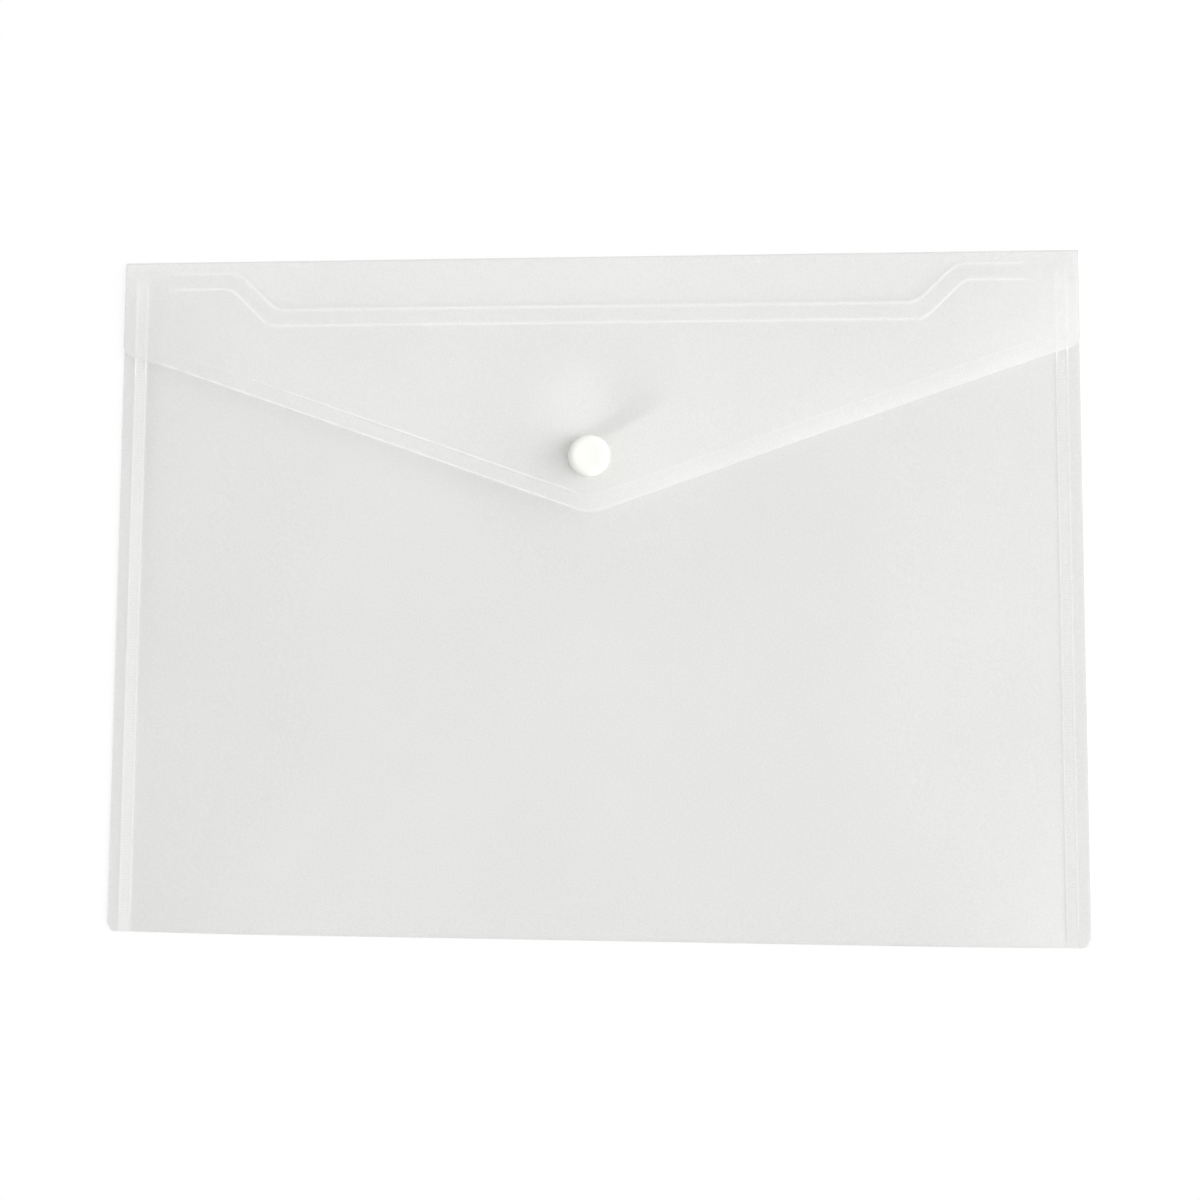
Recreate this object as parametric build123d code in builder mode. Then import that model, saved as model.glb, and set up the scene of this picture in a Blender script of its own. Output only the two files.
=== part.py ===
"""Document wallet: a folded polypropylene pocket with a pointed flap and a press stud."""

import os
from math import radians, tan

from build123d import *

# All lengths are in millimetres, all angles in degrees.
# The wallet lies on its back: X is its width, Y runs up to the flap crease, Z is up.

# Sheet and pocket
wallet_width = 330.0
wallet_height = 233.0
sheet = 0.2
pocket_depth = 4.4
side_land = 1.0
side_rise_run = 6.0
side_root_radius = 2.0
side_crown_radius = 6.0
ear_bend_radius = 20.0

# Side welds
weld_margin = 8.5
weld_corner_radius = 3.0
weld_line_outer = 4.2
weld_line_inner = 7.8
weld_line_bottom_gap = 6.0
weld_line_top_gap = 4.0

# Mouth of the pocket, measured down from the crease and in from the side edges
ear_drop = 3.4
ear_width = 41.0
mouth_drop = 17.3
mouth_corner_radius = 4.0

# Embossed border lines along the mouth and the flap's edge
border_width = 5.8
bead_width = 0.6
bead_height = 0.15

# Flap and its crease
crease_inner_radius = 0.25
crease_land = 1.0
crease_root_radius = 3.0
flap_ramp_angle = 17.0
flap_bend_radius = 30.0
flap_side_length = 32.5
flap_depth = 91.0
flap_tip_radius = 14.0
flap_corner_radius = 4.0
flap_clearance = 0.4

# Press stud
snap_from_tip = 20.0
cap_diameter = 14.0
cap_height = 1.9
cap_edge_radius = 0.9
cap_dish_diameter = 9.0
cap_dish_depth = 0.25
post_diameter = 3.2
stake_diameter = 4.4
stake_height = 0.4
socket_diameter = 10.6
socket_height = 2.15
socket_web = 0.8
socket_mouth_diameter = 5.9
socket_lip = 0.5
socket_edge_radius = 0.5
stud_diameter = 10.6
stud_flange = 0.7
stud_neck_diameter = 5.6
stud_head_diameter = 6.2
stud_head_height = 1.3
stud_top_diameter = 5.0
backing_diameter = 12.4
backing_height = 1.2
backing_edge_radius = 0.5

# Fits
snap_clearance = 0.15
post_clearance = 0.05

# Derived levels and places
half_width = wallet_width / 2
half_height = wallet_height / 2
panel_half_width = half_width - weld_margin
weld_thickness = 2 * sheet
rise_foot = panel_half_width - side_land
rise_head = rise_foot - side_rise_run
pocket_height = pocket_depth + 2 * sheet
fold_radius = pocket_height / 2
fold_y = fold_radius - half_height
crease_radius = crease_inner_radius + sheet
crease_y = half_height - crease_radius
ear_y = half_height - ear_drop
mouth_y = half_height - mouth_drop
ramp_rate = tan(radians(flap_ramp_angle))
ramp_start_y = crease_y - crease_land
flap_root = sheet + 2 * crease_inner_radius
flap_level = pocket_height + stud_flange + snap_clearance + socket_height
flap_rise_run = (flap_level - flap_root) / ramp_rate
flap_bend_y = ramp_start_y - flap_rise_run
flap_bend_x = half_width - flap_rise_run
flap_tip_y = half_height - flap_depth
flap_side_y = half_height - flap_side_length
flap_edge_rate = (flap_depth - flap_side_length) / half_width
snap_y = flap_tip_y + snap_from_tip
snap_axis = Axis((0, snap_y, 0), (0, 0, 1))
snap_plane = Plane.XZ.offset(-snap_y)
post_radius = post_diameter / 2
stake_radius = stake_diameter / 2
post_hole_radius = post_radius + post_clearance
stake_hole_radius = stake_radius + post_clearance


def pocket_side_view(floor, lift):
    """Profile of the pocket from its half-round fold to its ears, with the top skin raised by lift."""
    crown = pocket_height + lift
    ear_end = flap_root + lift - flap_clearance + (ramp_start_y - ear_y) * ramp_rate
    shoulder_y = ramp_start_y - (pocket_height + flap_clearance - flap_root) / ramp_rate
    end_radius = (crown - floor) / 2
    with BuildSketch(Plane.YZ) as profile:
        with BuildLine():
            FilletPolyline(
                (fold_y, floor),
                (ear_y, floor),
                (ear_y, ear_end),
                (shoulder_y, crown),
                (fold_y, crown),
                radius=(0, 0, ear_bend_radius),
            )
            ThreePointArc((fold_y, crown), (fold_y - end_radius, floor + end_radius), (fold_y, floor))
        make_face()
    return profile.sketch


def pocket_solid(floor, lift):
    """Filled shape of the pocket from floor up to its top skin, which is raised by lift."""
    crown = pocket_height + lift
    with BuildPart() as solid:
        extrude(pocket_side_view(floor, lift), amount=panel_half_width, both=True)
        with BuildSketch(Plane.XZ):
            with BuildLine():
                FilletPolyline(
                    (0, 0),
                    (panel_half_width, 0),
                    (panel_half_width, weld_thickness + lift),
                    (rise_foot, weld_thickness + lift),
                    (rise_head, crown),
                    (0, crown),
                    radius=(0, 0, side_root_radius, side_crown_radius),
                )
                Line((0, crown), (0, 0))
            make_face()
            mirror(about=Plane.YZ)
        extrude(amount=wallet_height, both=True, mode=Mode.INTERSECT)
    return solid.part


def mouth_opening(drop):
    """Plan of everything above the stepped mouth edge, moved down by drop."""
    with BuildSketch() as plan:
        with BuildLine():
            step = ear_width + mouth_drop - ear_drop - half_width
            FilletPolyline(
                (0, mouth_y),
                (step, mouth_y),
                (ear_width - half_width, ear_y),
                (-wallet_width, ear_y),
                radius=mouth_corner_radius,
            )
            Polyline(
                (-wallet_width, ear_y),
                (-wallet_width, wallet_height),
                (0, wallet_height),
                (0, mouth_y),
            )
        make_face()
        mirror(about=Plane.YZ)
        if drop:
            offset(amount=drop)
    return plan.sketch


def flap_wedge(inset):
    """Plan of the wide V above the flap's edge lines, drawn in by inset."""
    with BuildSketch() as plan:
        with BuildLine():
            far_y = flap_tip_y + wallet_width * flap_edge_rate
            Polyline(
                (0, flap_tip_y),
                (wallet_width, far_y),
                (wallet_width, wallet_height),
                (-wallet_width, wallet_height),
                (-wallet_width, far_y),
                close=True,
            )
        make_face()
        fillet(plan.vertices().sort_by(Axis.Y)[0], radius=flap_tip_radius)
        offset(amount=-inset)
    return plan.sketch


def under_flap(lift):
    """Filled shape under the flap's skin, which slopes up from the crease and from both sides."""
    roof = flap_root + lift
    crown = flap_level + lift
    with BuildPart() as solid:
        with BuildSketch(Plane.YZ):
            with BuildLine():
                FilletPolyline(
                    (crease_y, 0),
                    (crease_y, roof),
                    (ramp_start_y, roof),
                    (flap_bend_y, crown),
                    (flap_tip_y, crown),
                    (flap_tip_y, 0),
                    radius=(0, crease_root_radius, flap_bend_radius, 0),
                )
                Line((flap_tip_y, 0), (crease_y, 0))
            make_face()
        extrude(amount=half_width, both=True)
        with BuildSketch(Plane.XZ):
            with BuildLine():
                FilletPolyline(
                    (0, 0),
                    (half_width, 0),
                    (half_width, roof),
                    (flap_bend_x, crown),
                    (0, crown),
                    radius=(0, 0, flap_bend_radius),
                )
                Line((0, crown), (0, 0))
            make_face()
            mirror(about=Plane.YZ)
        extrude(amount=wallet_height, both=True, mode=Mode.INTERSECT)
    return solid.part


os.makedirs("parts", exist_ok=True)

# Back panel: flat on the table, as wide as the wallet only above the welds
with BuildPart() as back_panel:
    with BuildSketch():
        with BuildLine():
            Polyline(
                (-panel_half_width, fold_y),
                (panel_half_width, fold_y),
                (panel_half_width, ear_y),
                (half_width, ear_y),
                (half_width, crease_y),
                (-half_width, crease_y),
                (-half_width, ear_y),
                (-panel_half_width, ear_y),
                close=True,
            )
        make_face()
    extrude(amount=sheet)
back_panel.part.label = "back_panel"
export_step(back_panel.part, "parts/back_panel.step")

# Bottom fold: the half-round turn between back and front, pinched flat at both welds
with BuildPart() as bottom_fold:
    add(pocket_solid(0, 0))
    add(pocket_solid(sheet, -sheet), mode=Mode.SUBTRACT)
    split(bisect_by=Plane.XZ.offset(-fold_y), keep=Keep.TOP)
bottom_fold.part.label = "bottom_fold"
export_step(bottom_fold.part, "parts/bottom_fold.step")

# Front panel: the raised skin of the pocket, its stepped mouth and the bead along it
with BuildPart() as front_panel:
    add(pocket_solid(0, bead_height))
    with BuildSketch():
        add(mouth_opening(border_width + bead_width / 2))
        add(mouth_opening(border_width - bead_width / 2), mode=Mode.SUBTRACT)
    extrude(amount=wallet_height, mode=Mode.INTERSECT)
    add(pocket_solid(0, 0))
    add(pocket_solid(sheet, -sheet), mode=Mode.SUBTRACT)
    split(bisect_by=Plane.XZ.offset(-fold_y), keep=Keep.BOTTOM)
    split(bisect_by=Plane.XY.offset(sheet), keep=Keep.TOP)
    with BuildSketch():
        add(mouth_opening(0))
        with Locations((0, snap_y)):
            Circle(post_hole_radius)
    extrude(amount=wallet_height, mode=Mode.SUBTRACT)
front_panel.part.label = "front_panel"
export_step(front_panel.part, "parts/front_panel.step")

# Side welds: both sheets fused into one margin, with two pressed lines on top
with BuildPart() as right_side_weld:
    with BuildSketch() as margin:
        with BuildLine():
            FilletPolyline(
                (panel_half_width, -half_height),
                (half_width, -half_height),
                (half_width, ear_y),
                (panel_half_width, ear_y),
                radius=(weld_corner_radius, 0),
            )
            Line((panel_half_width, ear_y), (panel_half_width, -half_height))
        make_face()
    extrude(amount=weld_thickness)
    line_bottom = weld_line_bottom_gap - half_height
    line_length = ear_y - weld_line_top_gap - line_bottom
    with BuildSketch(Plane.XY.offset(weld_thickness)):
        for line_inset in (weld_line_outer, weld_line_inner):
            with Locations((half_width - line_inset, line_bottom)):
                Rectangle(bead_width, line_length, align=(Align.CENTER, Align.MIN))
    extrude(amount=bead_height)
right_side_weld.part.label = "right_side_weld"
export_step(right_side_weld.part, "parts/right_side_weld.step")

with BuildPart() as left_side_weld:
    mirror(right_side_weld.part, about=Plane.YZ)
left_side_weld.part.label = "left_side_weld"
export_step(left_side_weld.part, "parts/left_side_weld.step")

# Flap crease: the living hinge that wraps from the back panel into the flap
with BuildPart() as flap_crease:
    with BuildSketch(Plane.YZ):
        with Locations((crease_y, crease_radius)):
            Circle(crease_radius)
            Circle(crease_inner_radius, mode=Mode.SUBTRACT)
            Rectangle(wallet_height, wallet_height, align=(Align.MAX, Align.CENTER), mode=Mode.SUBTRACT)
    extrude(amount=half_width, both=True)
flap_crease.part.label = "flap_crease"
export_step(flap_crease.part, "parts/flap_crease.step")

# Flap: bent sheet with a wide V edge and a bead that follows it
with BuildPart() as flap_panel:
    add(under_flap(sheet + bead_height))
    with BuildSketch():
        add(flap_wedge(border_width - bead_width / 2))
        add(flap_wedge(border_width + bead_width / 2), mode=Mode.SUBTRACT)
    extrude(amount=wallet_height, mode=Mode.INTERSECT)
    add(under_flap(sheet))
    add(under_flap(0), mode=Mode.SUBTRACT)
    with BuildSketch():
        with BuildLine():
            FilletPolyline(
                (half_width, crease_y),
                (half_width, flap_side_y),
                (0, flap_tip_y),
                (-half_width, flap_side_y),
                (-half_width, crease_y),
                radius=(flap_corner_radius, flap_tip_radius, flap_corner_radius),
            )
            Line((-half_width, crease_y), (half_width, crease_y))
        make_face()
        with Locations((0, snap_y)):
            Circle(post_hole_radius, mode=Mode.SUBTRACT)
    extrude(amount=wallet_height, mode=Mode.INTERSECT)
flap_panel.part.label = "flap_panel"
export_step(flap_panel.part, "parts/flap_panel.step")

# Snap cap: dished button on the flap, its post staked under the socket's web
with BuildPart() as snap_cap:
    cap_seat = flap_level + sheet
    cap_top = cap_seat + cap_height
    dish_bottom = cap_top - cap_dish_depth
    web_bottom = flap_level - socket_web
    with BuildSketch(snap_plane):
        with BuildLine():
            Line((0, dish_bottom), (0, web_bottom))
            FilletPolyline(
                (0, web_bottom),
                (stake_radius, web_bottom),
                (post_radius, web_bottom + stake_height),
                (post_radius, cap_seat),
                (cap_diameter / 2, cap_seat),
                (cap_diameter / 2, cap_top),
                (cap_dish_diameter / 2, cap_top),
                radius=(0, 0, 0, 0, cap_edge_radius),
            )
            TangentArc((0, dish_bottom), (cap_dish_diameter / 2, cap_top), tangent=(1, 0))
        make_face()
    revolve(axis=snap_axis)
snap_cap.part.label = "snap_cap"
export_step(snap_cap.part, "parts/snap_cap.step")

# Snap socket: ring under the flap whose lip grips the stud's head
with BuildPart() as snap_socket:
    socket_bottom = flap_level - socket_height
    lip_top = socket_bottom + socket_lip
    cavity_top = flap_level - socket_web
    cavity_radius = stud_head_diameter / 2 + snap_clearance
    with BuildSketch(snap_plane):
        with BuildLine():
            FilletPolyline(
                (post_hole_radius, flap_level),
                (socket_diameter / 2, flap_level),
                (socket_diameter / 2, socket_bottom),
                (socket_mouth_diameter / 2, socket_bottom),
                (socket_mouth_diameter / 2, lip_top),
                (cavity_radius, lip_top),
                (cavity_radius, cavity_top),
                (stake_hole_radius, cavity_top),
                (post_hole_radius, cavity_top + stake_height),
                radius=(0, socket_edge_radius, 0, 0, 0, 0, 0),
            )
            Line((post_hole_radius, cavity_top + stake_height), (post_hole_radius, flap_level))
        make_face()
    revolve(axis=snap_axis)
snap_socket.part.label = "snap_socket"
export_step(snap_socket.part, "parts/snap_socket.step")

# Snap stud: flange on the front panel with a necked head, bored for the backing cap's post
with BuildPart() as snap_stud:
    flange_top = pocket_height + stud_flange
    head_top = flange_top + stud_head_height
    neck_top = flange_top + socket_lip + 2 * snap_clearance
    with BuildSketch(snap_plane):
        with BuildLine():
            Polyline(
                (post_hole_radius, pocket_height),
                (stud_diameter / 2, pocket_height),
                (stud_diameter / 2, flange_top),
                (stud_neck_diameter / 2, flange_top),
                (stud_neck_diameter / 2, neck_top - snap_clearance),
                (stud_head_diameter / 2, neck_top),
                (stud_top_diameter / 2, head_top),
                (stake_hole_radius, head_top),
                (post_hole_radius, head_top - stake_height),
                close=True,
            )
        make_face()
    revolve(axis=snap_axis)
snap_stud.part.label = "snap_stud"
export_step(snap_stud.part, "parts/snap_stud.step")

# Stud backing cap: flat disc inside the pocket, its post staked in the stud's head
with BuildPart() as stud_backing_cap:
    backing_top = pocket_height - sheet
    backing_bottom = backing_top - backing_height
    with BuildSketch(snap_plane):
        with BuildLine():
            FilletPolyline(
                (0, backing_bottom),
                (backing_diameter / 2, backing_bottom),
                (backing_diameter / 2, backing_top),
                (post_radius, backing_top),
                (post_radius, head_top - stake_height),
                (stake_radius, head_top),
                (0, head_top),
                radius=(backing_edge_radius, 0, 0, 0, 0),
            )
            Line((0, head_top), (0, backing_bottom))
        make_face()
    revolve(axis=snap_axis)
stud_backing_cap.part.label = "stud_backing_cap"
export_step(stud_backing_cap.part, "parts/stud_backing_cap.step")
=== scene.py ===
import math

import bmesh
import bpy
from mathutils import Matrix, Vector, noise


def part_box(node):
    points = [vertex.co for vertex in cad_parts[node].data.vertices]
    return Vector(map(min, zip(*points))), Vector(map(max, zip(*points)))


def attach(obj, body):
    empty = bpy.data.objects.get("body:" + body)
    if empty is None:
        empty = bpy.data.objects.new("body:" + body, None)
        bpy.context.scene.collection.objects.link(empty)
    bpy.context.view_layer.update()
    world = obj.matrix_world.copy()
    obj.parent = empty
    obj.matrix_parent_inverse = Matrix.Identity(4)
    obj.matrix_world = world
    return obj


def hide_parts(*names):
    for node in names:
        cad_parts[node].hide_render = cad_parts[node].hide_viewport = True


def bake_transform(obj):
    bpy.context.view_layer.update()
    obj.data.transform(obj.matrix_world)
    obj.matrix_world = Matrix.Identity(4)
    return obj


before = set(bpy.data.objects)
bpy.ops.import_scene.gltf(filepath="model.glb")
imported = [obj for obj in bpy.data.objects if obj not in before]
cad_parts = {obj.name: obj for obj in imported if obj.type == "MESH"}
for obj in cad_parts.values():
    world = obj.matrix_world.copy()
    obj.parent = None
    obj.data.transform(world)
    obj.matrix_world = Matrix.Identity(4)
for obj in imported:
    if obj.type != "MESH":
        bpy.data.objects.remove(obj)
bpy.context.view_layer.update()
scene = bpy.context.scene
mm = 0.001
hair = 0.01 * mm   # closer than this counts as touching
print("wallet: frame loaded with", len(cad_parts), "nodes")

# places that the frame gives
creaseLow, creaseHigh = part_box("flap_crease")
foldLow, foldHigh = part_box("bottom_fold")
weldLow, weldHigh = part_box("right_side_weld")
studLow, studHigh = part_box("snap_stud")
socketLow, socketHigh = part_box("snap_socket")
capLow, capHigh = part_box("snap_cap")
backingLow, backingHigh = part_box("stud_backing_cap")
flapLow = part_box("flap_panel")[0]
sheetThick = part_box("back_panel")[1].z
weldThick = 2 * sheetThick
halfWidth = creaseHigh.x
panelHalf = weldLow.x
earY = weldHigh.y
creaseY = creaseLow.y
creaseRadius = creaseHigh.z / 2
foldY = foldHigh.y
foldRadius = foldHigh.y - foldLow.y
pocketTop = foldHigh.z
flapLevel = socketHigh.z
snapX = (studLow.x + studHigh.x) / 2
snapY = (studLow.y + studHigh.y) / 2


def clamp(value, low=0.0, high=1.0):
    return max(low, min(high, value))


def easeStep(share):
    share = clamp(share)
    return share * share * (3 - 2 * share)


def easeOut(share):
    return 1 - (1 - clamp(share)) ** 2


def softMax(a, b, reach):
    overlap = max(reach - abs(a - b), 0) / reach
    return max(a, b) + overlap * overlap * reach / 4


def softMin(a, b, reach):
    return -softMax(-a, -b, reach)


def ridgeBump(offset, half):
    # rounded bump that is 1 on its line and 0 beyond half its width
    if abs(offset) >= half:
        return 0.0
    return 0.5 + 0.5 * math.cos(math.pi * offset / half)


def spread(low, high, step):
    count = max(1, round((high - low) / step))
    return [low + (high - low) * k / count for k in range(count)]


def bothSides(places):
    # places from the middle outwards, mirrored to the left
    return [-x for x in places[:0:-1]] + places


def newPiece(name, mesh):
    piece = bpy.data.objects.new(name, mesh)
    scene.collection.objects.link(piece)
    return piece


def smoothPiece(name, bm, sharpAngle):
    bmesh.ops.recalc_face_normals(bm, faces=bm.faces)
    for face in bm.faces:
        face.smooth = True
    mesh = bpy.data.meshes.new(name)
    bm.to_mesh(mesh)
    bm.free()
    mesh.set_sharp_from_angle(angle=sharpAngle)
    return newPiece(name, mesh)


# what both folded sheets share
sheetSet = {
    "mergeReach": 0.002 * mm,
    "sharpAngle": math.radians(38),
    "lineShares": (-1.0, -0.6, -0.3, 0.0, 0.3, 0.6, 1.0),   # rows across one pressed line
    "rowStart": 1.2 * mm,       # plain rows between the lines
    "rowStep": 0.9 * mm,
    "rowLeast": 0.04 * mm,
    "breakMean": 0.8,           # pressed lines are never evenly white
    "breakSwing": 0.5,
    "breakSize": 5.0 * mm,
    "breakLayer": 2,
}


def brokenLine(x, y):
    place = Vector((x, y, sheetSet["breakLayer"])) / sheetSet["breakSize"]
    return clamp(sheetSet["breakMean"] + sheetSet["breakSwing"] * noise.noise(place))


def slowWave(x, y, settings):
    place = Vector((x, y, settings["waveLayer"])) / settings["waveSize"]
    return 0.5 + 0.5 * noise.noise(place)


def lineRows(lines, half, reach):
    # insets that resolve each pressed line, from reach down to the edge
    rows = {0.0, reach}
    for line in lines:
        rows.update(line + half * share for share in sheetSet["lineShares"])
    rows.update(spread(sheetSet["rowStart"], reach, sheetSet["rowStep"]))
    ordered = sorted(row for row in rows if row >= 0)
    kept = [ordered[0]]
    for row in ordered[1:]:
        if row - kept[-1] > sheetSet["rowLeast"]:
            kept.append(row)
    return kept[::-1]


def stitchGrid(bm, columns):
    for left, right in zip(columns, columns[1:]):
        for row in range(len(left) - 1):
            bm.faces.new((left[row], left[row + 1], right[row + 1], right[row]))


def finishSheet(name, bm):
    bmesh.ops.remove_doubles(bm, verts=bm.verts, dist=sheetSet["mergeReach"])
    openEdges = [edge for edge in bm.edges if edge.is_boundary]
    bmesh.ops.holes_fill(bm, edges=openEdges, sides=0)
    return smoothPiece(name, bm, sheetSet["sharpAngle"])


# materials
filmSet = {
    "shade": (0.873, 0.873, 0.864, 1),
    "light": (0.963, 0.963, 0.953, 1),
    # pressed lines are whiter, and the painted highlights mix towards the same colour
    "line": (0.995, 0.995, 0.99, 1),
    "cover": 0.57,          # share of the light that one sheet scatters
    "fusedCover": 0.65,     # the same where two sheets are welded into one
    "lineCover": 0.97,
    "through": 0.3,         # part of the scattered light that goes on through
    "shadow": 0.42,         # part of the scattered light that is lost to a shadow
    "roughness": (0.48, 0.64),
    "ior": 1.49,
    "cloudScale": 13.0,
    "cloudDetail": 2,
    "grainScale": 1500.0,
    "grainDetail": 1,
    "grainShare": 0.78,     # grain against clouds in the tone
    "toneSpan": (0.28, 0.72),
    "bump": 0.2,
    "bumpDepth": 0.03 * mm,
}


def addNode(tree, kind, place, **values):
    node = tree.nodes.new(kind)
    node.location = place
    for key, value in values.items():
        setattr(node, key, value)
    return node


def mapRange(tree, source, low, high, place):
    node = addNode(tree, "ShaderNodeMapRange", place)
    node.inputs["To Min"].default_value = low
    node.inputs["To Max"].default_value = high
    tree.links.new(source, node.inputs["Value"])
    return node.outputs["Result"]


def noisePair(tree, settings, across):
    # slow clouds and fine grain, both on Object coordinates
    coords = addNode(tree, "ShaderNodeTexCoord", (across - 250, 0))
    textures = []
    for kind, down in (("cloud", 300), ("grain", 0)):
        texture = addNode(tree, "ShaderNodeTexNoise", (across, down))
        texture.inputs["Scale"].default_value = settings[kind + "Scale"]
        texture.inputs["Detail"].default_value = settings[kind + "Detail"]
        tree.links.new(coords.outputs["Object"], texture.inputs["Vector"])
        textures.append(texture.outputs["Fac"])
    return textures


def grainBump(tree, settings, grain, place):
    bump = addNode(tree, "ShaderNodeBump", place)
    bump.inputs["Strength"].default_value = settings["bump"]
    bump.inputs["Distance"].default_value = settings["bumpDepth"]
    tree.links.new(grain, bump.inputs["Height"])
    return bump.outputs["Normal"]


def toneRamp(tree, settings, place):
    tone = addNode(tree, "ShaderNodeValToRGB", place)
    for stop, position, key in zip(tone.color_ramp.elements, settings["toneSpan"], ("shade", "light")):
        stop.position = position
        stop.color = settings[key]
    return tone


def frostedFilm(name, settings):
    material = bpy.data.materials.new(name)
    material.use_nodes = True
    tree = material.node_tree
    tree.nodes.clear()
    link = tree.links.new
    cloud, grain = noisePair(tree, settings, -1250)
    painted = []
    for attribute, down in (("fused", 600), ("emboss", 800), ("inner", 1000)):
        node = addNode(tree, "ShaderNodeAttribute", (-1250, down), attribute_name=attribute)
        painted.append(node.outputs["Fac"])
    fused, emboss, inner = painted

    # soft clouds in the tone, fine grain over them, and whiter pressed lines; the emboss attribute also
    # carries painted highlights, which take the same whiter tone
    tone = toneRamp(tree, settings, (-950, 300))
    speckle = addNode(tree, "ShaderNodeMix", (-1050, 130), data_type="FLOAT")
    speckle.inputs[0].default_value = settings["grainShare"]
    link(cloud, speckle.inputs[2])
    link(grain, speckle.inputs[3])
    link(speckle.outputs[0], tone.inputs["Fac"])
    lineTone = addNode(tree, "ShaderNodeMix", (-650, 300), data_type="RGBA")
    lineTone.inputs[7].default_value = settings["line"]
    link(emboss, lineTone.inputs[0])
    link(tone.outputs["Color"], lineTone.inputs[6])
    filmColor = lineTone.outputs[2]

    # the inner face of each sheet is clear, its outer face scatters for both
    weldCover = mapRange(tree, fused, settings["cover"], settings["fusedCover"], (-950, 700))
    lineCover = addNode(tree, "ShaderNodeMix", (-650, 700), data_type="FLOAT")
    lineCover.inputs[3].default_value = settings["lineCover"]
    link(emboss, lineCover.inputs[0])
    link(weldCover, lineCover.inputs[2])
    cover = addNode(tree, "ShaderNodeMath", (-400, 650), operation="MULTIPLY", use_clamp=True)
    link(lineCover.outputs[0], cover.inputs[0])
    link(mapRange(tree, inner, 1.0, 0.0, (-650, 950)), cover.inputs[1])

    normal = grainBump(tree, settings, grain, (-650, -200))
    skin = addNode(tree, "ShaderNodeBsdfPrincipled", (-300, 200))
    skin.inputs["IOR"].default_value = settings["ior"]
    link(filmColor, skin.inputs["Base Color"])
    link(mapRange(tree, grain, *settings["roughness"], (-650, 0)), skin.inputs["Roughness"])
    link(normal, skin.inputs["Normal"])
    glow = addNode(tree, "ShaderNodeBsdfTranslucent", (-300, -250))
    link(filmColor, glow.inputs["Color"])
    link(normal, glow.inputs["Normal"])
    body = addNode(tree, "ShaderNodeMixShader", (0, 100))
    link(mapRange(tree, emboss, settings["through"], 0.0, (-250, 0)), body.inputs["Fac"])
    link(skin.outputs[0], body.inputs[1])
    link(glow.outputs[0], body.inputs[2])
    clear = addNode(tree, "ShaderNodeBsdfTransparent", (0, 300))
    film = addNode(tree, "ShaderNodeMixShader", (200, 200))
    link(cover.outputs[0], film.inputs["Fac"])
    link(clear.outputs[0], film.inputs[1])
    link(body.outputs[0], film.inputs[2])

    # a shadow ray only loses what the sheet does not pass on
    passed = addNode(tree, "ShaderNodeMath", (-200, 650), operation="MULTIPLY_ADD")
    passed.inputs[1].default_value = -settings["shadow"]
    passed.inputs[2].default_value = 1.0
    link(cover.outputs[0], passed.inputs[0])
    veil = addNode(tree, "ShaderNodeBsdfTransparent", (0, 550))
    link(passed.outputs[0], veil.inputs["Color"])
    rays = addNode(tree, "ShaderNodeLightPath", (0, 900))
    either = addNode(tree, "ShaderNodeMixShader", (400, 300))
    link(rays.outputs["Is Shadow Ray"], either.inputs["Fac"])
    link(film.outputs[0], either.inputs[1])
    link(veil.outputs[0], either.inputs[2])
    output = addNode(tree, "ShaderNodeOutputMaterial", (600, 300))
    link(either.outputs[0], output.inputs["Surface"])
    return material


frosted = frostedFilm("frosted film", filmSet)

snapSet = {
    "shade": (0.965, 0.965, 0.92, 1),
    "light": (0.982, 0.982, 0.937, 1),
    "roughness": (0.24, 0.36),
    "ior": 1.49,
    "cloudScale": 160.0,
    "cloudDetail": 2,
    "grainScale": 2600.0,
    "grainDetail": 2,
    "toneSpan": (0.0, 1.0),
    "bump": 0.06,
    "bumpDepth": 0.02 * mm,
    "glowShare": 0.15,      # light that wanders under the surface
    "glowRadius": (1.0, 0.95, 0.85),
    "glowReach": 1.0 * mm,
}


def snapPlastic(name, settings):
    material = bpy.data.materials.new(name)
    material.use_nodes = True
    tree = material.node_tree
    link = tree.links.new
    skin = tree.nodes["Principled BSDF"]
    cloud, grain = noisePair(tree, settings, -950)
    tone = toneRamp(tree, settings, (-650, 250))
    link(cloud, tone.inputs["Fac"])
    link(tone.outputs["Color"], skin.inputs["Base Color"])
    link(mapRange(tree, grain, *settings["roughness"], (-650, 0)), skin.inputs["Roughness"])
    link(grainBump(tree, settings, grain, (-400, -250)), skin.inputs["Normal"])
    skin.inputs["IOR"].default_value = settings["ior"]
    skin.inputs["Subsurface Weight"].default_value = settings["glowShare"]
    skin.inputs["Subsurface Radius"].default_value = settings["glowRadius"]
    skin.inputs["Subsurface Scale"].default_value = settings["glowReach"]
    return material


whitePlastic = snapPlastic("white snap plastic", snapSet)
print("wallet: materials ready")

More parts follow.
